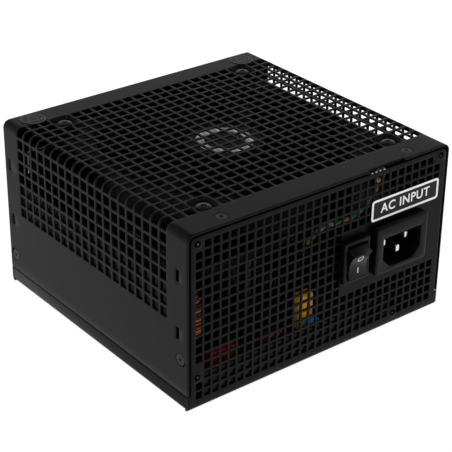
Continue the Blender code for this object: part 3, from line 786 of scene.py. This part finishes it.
def edge_clip():
    """Four bright fingers in the cover's notch."""
    bm = bmesh.new()
    for k in range(4):
        x = NOTCH[0] + 1.5 + 2.4 * k
        add_box(bm, (x, Y_REAR + 0.2, 82.5), (x + 1.3, Y_REAR + 1.6, 83.1), 0.25)
    piece("edge_clip", bm, BARE_STEEL)


# Fasteners

def cross_screw(name, at, normal, head, recess_r):
    """A screw turned from its profile, with a cross recess in its head."""
    bm = bmesh.new()
    add_turned(bm, head, 32)
    obj = shape(name + "_head", bm)
    top = max(height for _, height in head)
    wedge = [(-recess_r, 0.6), (-recess_r * 0.35, -recess_r * 0.75), (recess_r * 0.35, -recess_r * 0.75),
             (recess_r, 0.6)]
    tools = []
    for turn in (0, 90):
        seat = Matrix.Translation((0, 0, top)) @ turned(turn, "Z") @ TO_XZ
        tools.append(prism("cross", wedge, -recess_r * 0.17, recess_r * 0.17, seat))
    carved(obj, *tools)
    look = Vector(normal).to_track_quat("Z", "Y").to_matrix().to_4x4()
    twist = turned(sum(ord(c) for c in name) % 90, "Z")
    obj.data.transform(Matrix.Translation(Vector(at) * MM) @ look @ twist)
    finished(obj, BLACK_ZINC, stands_for=(name,))


def screws():
    shank = [(0.0, -6.0), (1.5, -6.0), (1.5, -0.6)]
    flat = [*shank, (2.4, -0.6), (2.8, -0.35), (2.8, -0.12), (2.68, 0.0), (0.0, 0.0)]
    dome = [(3.3 * math.cos(a), 0.6 + 0.75 * math.sin(a)) for a in (math.pi / 2 * k / 7 for k in range(7))]
    pan = [(0.0, -9.0), (1.9, -9.0), (1.9, -0.45), (3.15, -0.45), (3.3, -0.3), *dome, (0.0, 1.36)]
    for name in ("cover_screw_1", "cover_screw_2", "seal_screw_1", "seal_screw_2"):
        at, half = extent(name)
        cross_screw(name, (at.x, at.y, at.z + half.z), (0, 0, 1), flat, 1.5)
    for side, direction in (("left", -1), ("right", 1)):
        for k in (1, 2):
            name = f"side_screw_{side}_{k}"
            at = middle(name)
            cross_screw(name, (direction * (X_SIDE - 0.1), at.y, at.z), (direction, 0, 0), flat, 1.5)
    for k in range(1, 5):
        name = f"fan_screw_{k}"
        at = middle(name)
        cross_screw(name, (at.x, at.y, TOP - 1.1), (0, 0, 1), pan, 2.1)


def seals():
    """Plain round seals over the two back screws."""
    for k in (1, 2):
        node = f"seal_sticker_{k}"
        at, half = extent(node)
        radius = half.x
        seat = Matrix.Translation((at.x, at.y, at.z - half.z))
        base = bmesh.new()
        profile = [(0, 0.02), (radius - 0.1, 0.02), (radius, 0.08), (radius - 0.1, 0.16), (0, 0.16)]
        add_turned(base, profile, 48, seat)
        piece(f"seal_film_{k}", base, SEAL_FILM, stands_for=(node,))
        lines = bmesh.new()
        for inner, outer in ((radius - 0.6, radius - 0.3), (2.2, 2.4)):
            add_turned(lines, [(inner, 0.14), (outer, 0.14), (outer, 0.2), (inner, 0.2)], 48, seat)
        for turn in (0, 120, 240):
            add_prism(lines, rounded_rectangle(0, 3.9, 1.1, 0.22, 0.2, 2), 0.14, 0.2,
                      seat @ turned(turn, "Z"))
        piece(f"seal_line_{k}", lines, SEAL_LINE)


# Mains inlet and switch

def panel_fitting(node, names, fillets, corner, core, well):
    """A part set into the mains panel: its proud flange, the core behind it and a well through both.

    core and well are an outline and where it ends inside, and the core also how far out it comes.
    """
    at, half = extent(node)
    face = half.y - at.y
    rim = rounded_rectangle(at.x, at.z, half.x, half.z, corner, 4)
    flange = applied(rounded(prism(names[0], rim, -Y_REAR - 0.3, face, TO_XZ), fillets[0], 3))
    behind = prism(names[1], *core, TO_XZ)
    for obj in (flange, behind):
        carved(obj, prism("well", *well, face + 5, TO_XZ))
    rounded(flange, fillets[1], 2, 60)
    for obj in (applied(flange), behind):
        finished(obj, MOULDED, stands_for=(node,))


def inlet():
    """C14 inlet: proud flange, chamfered well and three contacts."""
    core = (rounded_rectangle(INLET.x, INLET.z, 13.7, 10.1, 0.8, 3), 55.5, 1.0 - Y_REAR)
    well = (well_outline(11.5, 7.7, 4.7, 0.7), 58.6)
    panel_fitting("inlet_housing", ("inlet_flange", "inlet_core"), (0.7, 0.35), 1.2, core, well)
    for part in ("live", "neutral", "earth"):
        node = "inlet_pin_" + part
        at, half = extent(node)
        tip = at.y - half.y
        root = at.y + half.y
        side = [(tip + 1.4, -half.z), (root, -half.z), (root, half.z), (tip + 1.4, half.z)]
        side += arc(tip + 0.9, half.z - 1.1, 0.9, 100, 180, 4)
        side += arc(tip + 0.9, 1.1 - half.z, 0.9, 180, 260, 4)
        seat = Matrix.Translation((0, 0, at.z)) @ TO_YZ
        contact = prism("contact_" + part, side, at.x - half.x, at.x + half.x, seat)
        finished(applied(rounded(contact, 0.3, 3)), NICKEL, stands_for=(node,))


def well_outline(half_w, half_h, chamfer, fillet):
    """The well's outline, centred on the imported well, with its two lower corners cut off."""
    cx = INLET.x
    cz = INLET.z - 1.5
    corners = [(-half_w, -half_h + chamfer), (-half_w + chamfer, -half_h), (half_w - chamfer, -half_h),
               (half_w, -half_h + chamfer), (half_w, half_h), (-half_w, half_h)]
    points = []
    for k, here in enumerate(corners):
        before = Vector(corners[k - 1]) - Vector(here)
        after = Vector(corners[(k + 1) % len(corners)]) - Vector(here)
        start = Vector(here) + before.normalized() * fillet
        end = Vector(here) + after.normalized() * fillet
        for t in (0.0, 0.25, 0.5, 0.75, 1.0):
            point = start.lerp(Vector(here), t).lerp(Vector(here).lerp(end, t), t)
            points.append((cx + point.x, cz + point.y))
    return points


def switch():
    """Rocker switch frame, and the rocker with its two plain marks."""
    core = (rounded_rectangle(SWITCH.x, SWITCH.z, 6.6, 9.3, 0.5, 2), 57.0, 0.9 - Y_REAR)
    well = (rounded_rectangle(SWITCH.x, SWITCH.z, 5.8, 8.5, 0.35, 3), 61.0)
    panel_fitting("switch_frame", ("switch_bezel", "switch_core"), (0.6, 0.3), 0.8, core, well)
    rocker()


ROCKER_TILT = 13.0            # degrees


ROCKER_END = (6.3, 6.4)       # how far an end of the crown is out from the pivot, and up or down from it
ROCKER_DISH = 1.6
INK = 0.06                    # thickness of printed marks
MARK_UP = 3.2                 # height of the off mark's centre
MARK_R = 1.6
MARK_LINE = 0.8               # inside radius of the off mark, as a share of its outside radius
BAR_HALF = 0.18
BAR_LOW = -4.6
BAR_STEP = 0.65


def on_crown(v):
    """How far the rocker's dished crown is out from the pivot at height v."""
    return ROCKER_END[0] - ROCKER_DISH * (1 - (v / ROCKER_END[1]) ** 2)


def add_patch(bm, corners, matrix):
    """One face of (v, x) corners laid on the rocker's crown."""
    bm.faces.new([bm.verts.new(matrix @ Vector((on_crown(v) + 0.02, v, x))) for v, x in corners])


def rocker():
    """The rocker at rest with its upper end out; u is outward from the panel, v up from the pivot."""
    pivot = Vector((SWITCH.x, Y_REAR, SWITCH.z))
    seat = Matrix.Translation(pivot) @ Matrix(((0, 0, 1, 0), (-1, 0, 0, 0), (0, 1, 0, 0), (0, 0, 0, 1)))
    seat = seat @ turned(-ROCKER_TILT, "Z")
    crown = [(on_crown(v), v) for v in (ROCKER_END[1] * k / 12 for k in range(12, -13, -1))]
    profile = [(-3.5, 5.0), (1.7, 7.9), *crown, (1.7, -7.9), (-3.5, -5.0)]
    obj = rounded(prism("rocker_body", profile, -5.3, 5.3, seat), 0.35, 3, 25)
    finished(applied(obj), SMOOTH, "rocker", ("switch_rocker",))

    marks = bmesh.new()
    points = 28
    inner, outer = ([(v, x) for x, v, _ in circle_ring((0.0, MARK_UP), radius, 0.0, points)]
                    for radius in (MARK_R * MARK_LINE, MARK_R))
    for k in range(points):
        n = (k + 1) % points
        add_patch(marks, [inner[k], outer[k], outer[n], inner[n]], seat)
    for k in range(4):
        low_v = BAR_LOW + BAR_STEP * k
        high_v = low_v + BAR_STEP
        bar = [(low_v, -BAR_HALF), (low_v, BAR_HALF), (high_v, BAR_HALF), (high_v, -BAR_HALF)]
        add_patch(marks, bar, seat)
    bmesh.ops.remove_doubles(marks, verts=marks.verts, dist=0.001)
    ink = thickened(shape("rocker_marks", marks), INK, 0.0)
    finished(applied(ink), WHITE_INK, "rocker")


def input_label():
    """A black label with a white rounded border and a generic caption."""
    at, half = extent("input_label")
    face = half.y - at.y
    outer = rounded_rectangle(at.x, at.z, half.x, half.z, 1.5)
    inner = rounded_rectangle(at.x, at.z, half.x - 1.1, half.z - 1.1, 0.7)
    plate = bmesh.new()
    add_prism(plate, outer, face - 0.2, face, TO_XZ)
    piece("label_plate", plate, BLACK_INK, stands_for=("input_label",))
    border = bmesh.new()
    rings = [[border.verts.new((x, -face - h, z)) for x, z in ring]
             for ring, h in ((outer, 0.0), (outer, INK), (inner, INK), (inner, 0.0))]
    loft(border, rings + rings[:1])
    bmesh.ops.recalc_face_normals(border, faces=border.faces)
    piece("label_border", border, WHITE_INK)
    text = bpy.data.curves.new("caption", "FONT")
    text.body = "AC INPUT"
    text.size = 6.2 * MM
    text.align_x = "CENTER"
    text.align_y = "CENTER"
    text.space_character = 1.1
    text.offset = 0.1 * MM
    text.extrude = 0.03 * MM
    stand = Matrix.Translation(Vector((at.x, -face - 0.03, at.z)) * MM) @ turned(90, "X")
    mesh = mesh_from(link("caption", text))
    mesh.transform(stand)
    finished(link("label_caption", mesh), WHITE_INK)


# Fan

HUB_R = 19.0
BLADES = 9
BLADE_TIP = 55.8
DUCT_R = 57.2
FAN_TOP = FAN.z + 12.5
FAN_BOTTOM = FAN.z - 12.5


def fan():
    """Rotor with swept blades, its hub label, and the frame with its duct and struts."""
    centre = Matrix.Translation((FAN.x, FAN.y, 0))
    wall = 2.0
    skirt = HUB_TOP - 19.0
    bm = bmesh.new()
    cup = [(0.0, HUB_TOP), (HUB_R - 1.6, HUB_TOP), *arc(HUB_R - 1.6, HUB_TOP - 1.6, 1.6, 80, 0, 4),
           (HUB_R, skirt), (HUB_R - wall, skirt), (HUB_R - wall, HUB_TOP - wall), (0.0, HUB_TOP - wall)]
    add_turned(bm, cup, 64, centre)
    for k in range(BLADES):
        add_blade(bm, 360.0 / BLADES * k)
    piece("rotor", bm, FAN_PLASTIC, "fan", ("fan_rotor",), 40)

    low, high = (corner.z for corner in mm_box("fan_hub_label"))
    disc = bmesh.new()
    add_turned(disc, [(0, low), (16.9, low), (17.0, low + 0.1), (16.9, high), (0, high)], 64, centre)
    piece("hub_disc", disc, BLACK_INK, "fan", ("fan_hub_label",))
    band = bmesh.new()
    add_turned(band, [(9.5, high), (13.5, high), (13.5, high + 0.05), (9.5, high + 0.05)], 64, centre)
    piece("hub_band", band, SILVER_INK, "fan")
    fan_duct(centre)
    fan_corners(centre)


def add_blade(bm, angle):
    """A swept, twisted blade that thins towards its edges and tip."""
    spans = 12
    chords = 8
    root = HUB_R - 0.8
    part = bmesh.new()
    skins = []
    for side in (1, -1):
        grid = []
        for i in range(spans + 1):
            s = i / spans
            radius = root + (BLADE_TIP - root) * s
            sweep = math.radians(angle + 16.0 * s ** 1.5)
            width = math.radians(31.0 - 4.0 * s)
            row = []
            for j in range(chords + 1):
                c = j / chords
                turn = sweep + width * (c - 0.5)
                thick = (0.25 + 1.5 * math.sqrt(c * (1 - c))) * (1.1 - 0.4 * s)
                rise = HUB_TOP - 2.6 - 14.0 * c ** 1.15 + side * thick / 2
                row.append(part.verts.new((radius * math.cos(turn), radius * math.sin(turn), rise)))
            grid.append(row)
        skins.append(grid)
        for i in range(spans):
            for j in range(chords):
                part.faces.new((grid[i][j], grid[i + 1][j], grid[i + 1][j + 1], grid[i][j + 1]))
    rim = [(i, 0) for i in range(spans)] + [(spans, j) for j in range(chords)]
    rim += [(i, chords) for i in range(spans, 0, -1)] + [(0, j) for j in range(chords, 0, -1)]
    loft(part, [[grid[i][j] for i, j in rim] for grid in skins])
    bmesh.ops.recalc_face_normals(part, faces=part.faces)
    append(bm, part, Matrix.Translation((FAN.x, FAN.y, 0)))


def fan_duct(centre):
    """Round duct with four struts that carry the motor mount."""
    bm = bmesh.new()
    outer = 59.7
    wall = [(DUCT_R + 1.2, FAN_TOP), (outer, FAN_TOP), (outer, FAN_BOTTOM), (DUCT_R + 0.6, FAN_BOTTOM),
            (DUCT_R, FAN_BOTTOM + 2.0), (DUCT_R, FAN_TOP - 3.0)]
    add_turned(bm, wall, 96, centre)
    for k in range(4):
        strut = bmesh.new()
        add_box(strut, (-DUCT_R - 1, -2.3, FAN_BOTTOM), (-15, 2.3, FAN_BOTTOM + 3.0), 0.8)
        append(bm, strut, centre @ turned(20 + 90 * k, "Z"))
    mount = ((0, 0.2), (18, 0.2), (18.5, 0.8), (18.5, 3.0), (5, 3.0), (5, 16), (3.7, 16), (3.7, 1.5),
             (0, 1.5))
    add_turned(bm, [(radius, FAN_BOTTOM + height) for radius, height in mount], 48, centre)
    piece("fan_duct", bm, FAN_PLASTIC, stands_for=("fan_frame",))


def fan_corners(centre):
    """Drilled corner plates at the top and the bottom of the duct."""
    bm = bmesh.new()
    fillet = 4.0
    out = 60.0 - fillet
    for low, high in ((FAN_BOTTOM, FAN_BOTTOM + 4.0), (FAN_TOP - 4.0, FAN_TOP)):
        for i, j in ((-1, -1), (-1, 1), (1, -1), (1, 1)):
            facing = math.degrees(math.atan2(j, i))
            lug = [*arc(i * out, j * out, fillet, facing - 45, facing + 45, 4),
                   *arc(0, 0, DUCT_R + 1.6, facing + 43, facing - 43, 14)]
            add_prism(bm, lug, low, high, centre)
    plates = shape("fan_corners", bm)
    holes = bmesh.new()
    for k in range(1, 5):
        at = middle(f"fan_screw_{k}")
        drill = [(0, FAN_BOTTOM - 2), (2.2, FAN_BOTTOM - 2), (2.2, FAN_TOP + 2), (0, FAN_TOP + 2)]
        add_turned(holes, drill, 20, Matrix.Translation((at.x, at.y, 0)))
    carved(plates, shape("holes", holes))
    rounded(plates, 0.4, 2, 50)
    finished(applied(plates), FAN_PLASTIC, stands_for=("fan_frame",))


# Inside

def wound_ring(name, node, turns, wire, core_minor, axis, mat):
    """A ring core, tipped on edge about axis, and one loop of wire for each turn of its winding."""
    at, half = extent(node)
    minor = min(half)
    major = max(half) - minor
    seat = Matrix.Translation(at) @ turned(90, axis)
    core = bmesh.new()
    section = [(x, z) for x, z, _ in circle_ring((major, 0), core_minor, 0, 12)]
    add_turned(core, section, 48, seat)
    piece(name + "_core", core, FERRITE, stands_for=(node,), crease=60)
    coil = bmesh.new()
    ring = [(x, z) for x, z, _ in circle_ring((minor - wire, 0), wire, 0, 6)]
    for k in range(turns):
        around = Matrix.Rotation(2 * math.pi * (k + 0.5) / turns, 4, "Z")
        lean = Matrix.Rotation(math.pi / 2 + 0.08, 4, "X")
        add_turned(coil, ring, 20, seat @ around @ Matrix.Translation((major, 0, 0)) @ lean)
    piece(name + "_winding", coil, mat, crease=70)


def add_tube(name, points, radius, mat, stands_for=()):
    curve = bpy.data.curves.new(name, "CURVE")
    curve.dimensions = "3D"
    curve.bevel_depth = radius * MM
    curve.bevel_resolution = 4
    curve.use_fill_caps = True
    spline = curve.splines.new("BEZIER")
    spline.bezier_points.add(len(points) - 1)
    for knot, at in zip(spline.bezier_points, points):
        knot.co = Vector(at) * MM
        knot.handle_left_type = "AUTO"
        knot.handle_right_type = "AUTO"
    mesh = mesh_from(link(name + "_guide", curve))
    bm = bmesh.new()
    bm.from_mesh(mesh)
    bmesh.ops.remove_doubles(bm, verts=bm.verts, dist=0.000005)
    bmesh.ops.recalc_face_normals(bm, faces=bm.faces)
    bm.to_mesh(mesh)
    bm.free()
    smooth(mesh, 50)
    finished(link(name, mesh), mat, stands_for=stands_for)


def earth_wire():
    """The earth wire from the inlet, up behind the panel to its ring tag under a screw."""
    route = [(43.3, -50.4, 41.3), (42.0, -45.5, 44.0), (30.0, -47.0, 50.5), (10.0, -53.0, 53.0),
             (-1.0, -61.0, 54.0), (-2.5, -65.3, 58.5), (3.0, -65.8, 61.8), (12.0, -65.5, 61.2),
             (20.0, -65.5, 61.3), (27.0, -65.5, 63.8), (32.0, -65.8, 68.0), (34.0, -66.0, 72.0),
             (34.0, -66.0, 76.0)]
    add_tube("earth_lead", route, 1.2, EARTH, ("earth_wire",))


def small_coil():
    """A little bare coil on the board, just behind the mains panel."""
    coil_r = 2.3
    per_turn = 8
    turns = 6
    height = mm_box("main_pcb")[1].z + coil_r + 0.5
    angles = [2 * math.pi * k / per_turn for k in range(per_turn * turns)]
    route = [(-24.0 + 0.19 * k, -60.0 + coil_r * math.sin(a), height - coil_r * math.cos(a))
             for k, a in enumerate(angles)]
    add_tube("small_coil", route, 0.42, COPPER)


def earth_lug():
    bm = bmesh.new()
    seat = Matrix.Translation((34.0, -67.6, 79.4)) @ turned(90, "X")
    add_turned(bm, [(1.7, -0.4), (3.6, -0.4), (3.6, 0.4), (1.7, 0.4)], 28, seat)
    add_box(bm, (32.6, -67.8, 72.6), (35.4, -64.4, 76.4), 0.6)
    piece("earth_lug", bm, BRASS)


def flank_shade_sheets():
    """Near-black sheets inside the flanks, painted shade behind their holes: all along the right one, and in
    front of the choke on the left.
    """
    right = [(-60.0, 12.0), (58.0, 12.0), (58.0, 68.0), (-44.0, 68.0), (-48.0, 76.0), (-60.0, 76.0)]
    left = [(-68.0, 56.0), (-48.5, 56.0), (-48.5, 71.0), (-68.0, 71.0)]
    bm = bmesh.new()
    add_prism(bm, right, 71.2, 71.5, TO_YZ)
    add_prism(bm, left, -71.5, -71.2, TO_YZ)
    # These sheets are painted shade: they darken what shows through the flank holes.
    finished(shape("flank_shade_sheets", bm), FILM_AND_SHADE)


def materials_of_nodes():
    """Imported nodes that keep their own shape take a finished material."""
    looks = {
        MASK: ("main_pcb",), DARK_MASK: ("modular_board",), FILM_AND_SHADE: ("insulator_sheet",),
        RED: ("film_capacitor",), ORANGE: ("x_capacitor",), BLUE: ("y_capacitor",),
        FERRITE: ("transformer_core",), TAPE: ("transformer_winding",),
        ALUMINIUM: ("primary_heatsink", "secondary_heatsink"),
        SLEEVE: ("bulk_capacitor_1", "bulk_capacitor_2", "output_capacitor_1", "output_capacitor_2"),
        BARE_STEEL: ("fan_shaft", "pcb_screw_1", "pcb_screw_2", "pcb_screw_3", "pcb_screw_4"),
        BRASS: ("fan_bearing",), COPPER: ("fan_stator",), LIVE: ("live_wire",), LEAD: ("fan_lead",),
    }
    for mat, names in looks.items():
        for name in names:
            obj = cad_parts[name]
            obj.data.materials.clear()
            obj.data.materials.append(mat)


def sockets():
    """Shrouded sockets: one well for each contact, two rows high, with a pin in each well."""
    well = 1.75
    back = 64.5
    pins = bmesh.new()
    for name, ways in SOCKETS.items():
        low, high = mm_box(name)
        at = middle(name)
        places = [(at.x + CONTACT_PITCH * (k - (ways - 1) / 2), at.z + CONTACT_PITCH * (row - 0.5))
                  for k in range(ways) for row in (0, 1)]

        def is_open(u, v):
            return any(abs(-u - x) < well and abs(v - z) < well for x, z in places)

        def place(u, v, height):
            return -u, high.y + height, v

        u_lines = [-low.x, -high.x] + [-x + side * well for x, z in places for side in (-1, 1)]
        v_lines = [low.z, high.z] + [z + side * well for x, z in places for side in (-1, 1)]
        shroud = sheet(name + "_shroud", u_lines, v_lines, is_open, [], place, high.y - back)
        finished(shroud, MOULDED, stands_for=(name,))
        plate = bmesh.new()
        add_box(plate, low, (high.x, back + 0.1, high.z), 0.3)
        finished(shape(name + "_back", plate), MOULDED, stands_for=(name,))
        for x, z in places:
            add_box(pins, (x - 0.55, 64.4, z - 0.55), (x + 0.55, 69.6, z + 0.55), 0.2, 1)
    piece("socket_contacts", pins, BRASS)


# Stage, light and camera

DIMMING = ((0.1, 1.0), (0.42, 0.58), (0.56, 0.62), (0.7, 0.25), (0.99, 0.1))    # steepness, brightness


def studio():
    """A room that is white up to the horizon and dims towards the ceiling."""
    world = bpy.data.worlds.new("studio")
    world.use_nodes = True
    tree = world.node_tree
    place = tree.nodes.new("ShaderNodeTexCoord").outputs["Generated"]
    split = add_node(tree, "SeparateXYZ", {"Vector": place})
    ramp = add_node(tree, "ValToRGB", {"Fac": split.outputs["Z"]})
    stops = ramp.color_ramp.elements
    for steepness, brightness in DIMMING:
        stops.new(steepness).color = (brightness, brightness, brightness, 1.0)
    stops.remove(stops[0])
    stops.remove(stops[-1])
    feed(tree, tree.nodes["Background"], {"Strength": 1.05, "Color": ramp.outputs["Color"]})
    return world


def stage():
    bm = bmesh.new()
    bmesh.ops.create_grid(bm, x_segments=1, y_segments=1, size=4000)
    floor = shape("floor", bm)
    floor.location.z = -0.0001
    mat = surface("floor_paper", (0.4, 0.4, 0.4), 0.95, specular=0.05, grain=2.0, depth=0.01, variation=0.01)
    tree = mat.node_tree
    glow = {"Emission Color": (1.0, 1.0, 1.0, 1.0), "Emission Strength": 0.88}
    feed(tree, tree.nodes["Principled BSDF"], glow)
    floor.data.materials.append(mat)
    bpy.context.scene.world = studio()
    bpy.context.scene.view_settings.view_transform = "Standard"
    for name, at, power in (("key", (-0.9, -0.9, 1.5), 4.0), ("fill", (1.2, -0.6, 0.9), 1.5)):
        lamp = bpy.data.lights.new(name, "AREA")
        lamp.shape = "SQUARE"
        lamp.size = 0.5
        lamp.energy = power
        obj = link(name, lamp)
        obj.location = at
        obj.rotation_euler = (Vector((0, 0, 0.04)) - Vector(at)).to_track_quat("-Z", "Y").to_euler()


def camera():
    """A long lens above the left front corner."""
    azimuth = math.radians(-38.608)
    elevation = math.radians(28.008)
    roll = math.radians(0.695)
    back = Vector((math.sin(azimuth) * math.cos(elevation), -math.cos(azimuth) * math.cos(elevation),
                   math.sin(elevation)))
    right = (-back).cross(Vector((0, 0, 1))).normalized()
    up = right.cross(-back)
    right, up = (math.cos(roll) * right + math.sin(roll) * up, math.cos(roll) * up - math.sin(roll) * right)
    lens = bpy.data.cameras.new("camera")
    lens.lens = 117.755    # mm, on a sensor of 36 mm
    lens.sensor_width = 36.0
    lens.clip_start = 0.01
    lens.clip_end = 50.0
    obj = link("camera", lens)
    axes = Matrix((right, up, back)).transposed().to_4x4()
    obj.matrix_world = Matrix.Translation(Vector((-383.027, -482.308, 363.338)) * MM) @ axes
    bpy.context.scene.camera = obj


stage()
camera()
cover()
mains_panel()
bolt_holes()
output_panel()
tray()
panel_flanges()
edge_clip()
screws()
seals()
inlet()
switch()
input_label()
fan()
wound_ring("filter_coil", "filter_choke", 52, 0.72, 2.6, "Y", COPPER)
wound_ring("power_coil", "power_choke", 40, 0.8, 3.6, "X", DARK_COPPER)
earth_wire()
small_coil()
earth_lug()
flank_shade_sheets()
sockets()
materials_of_nodes()
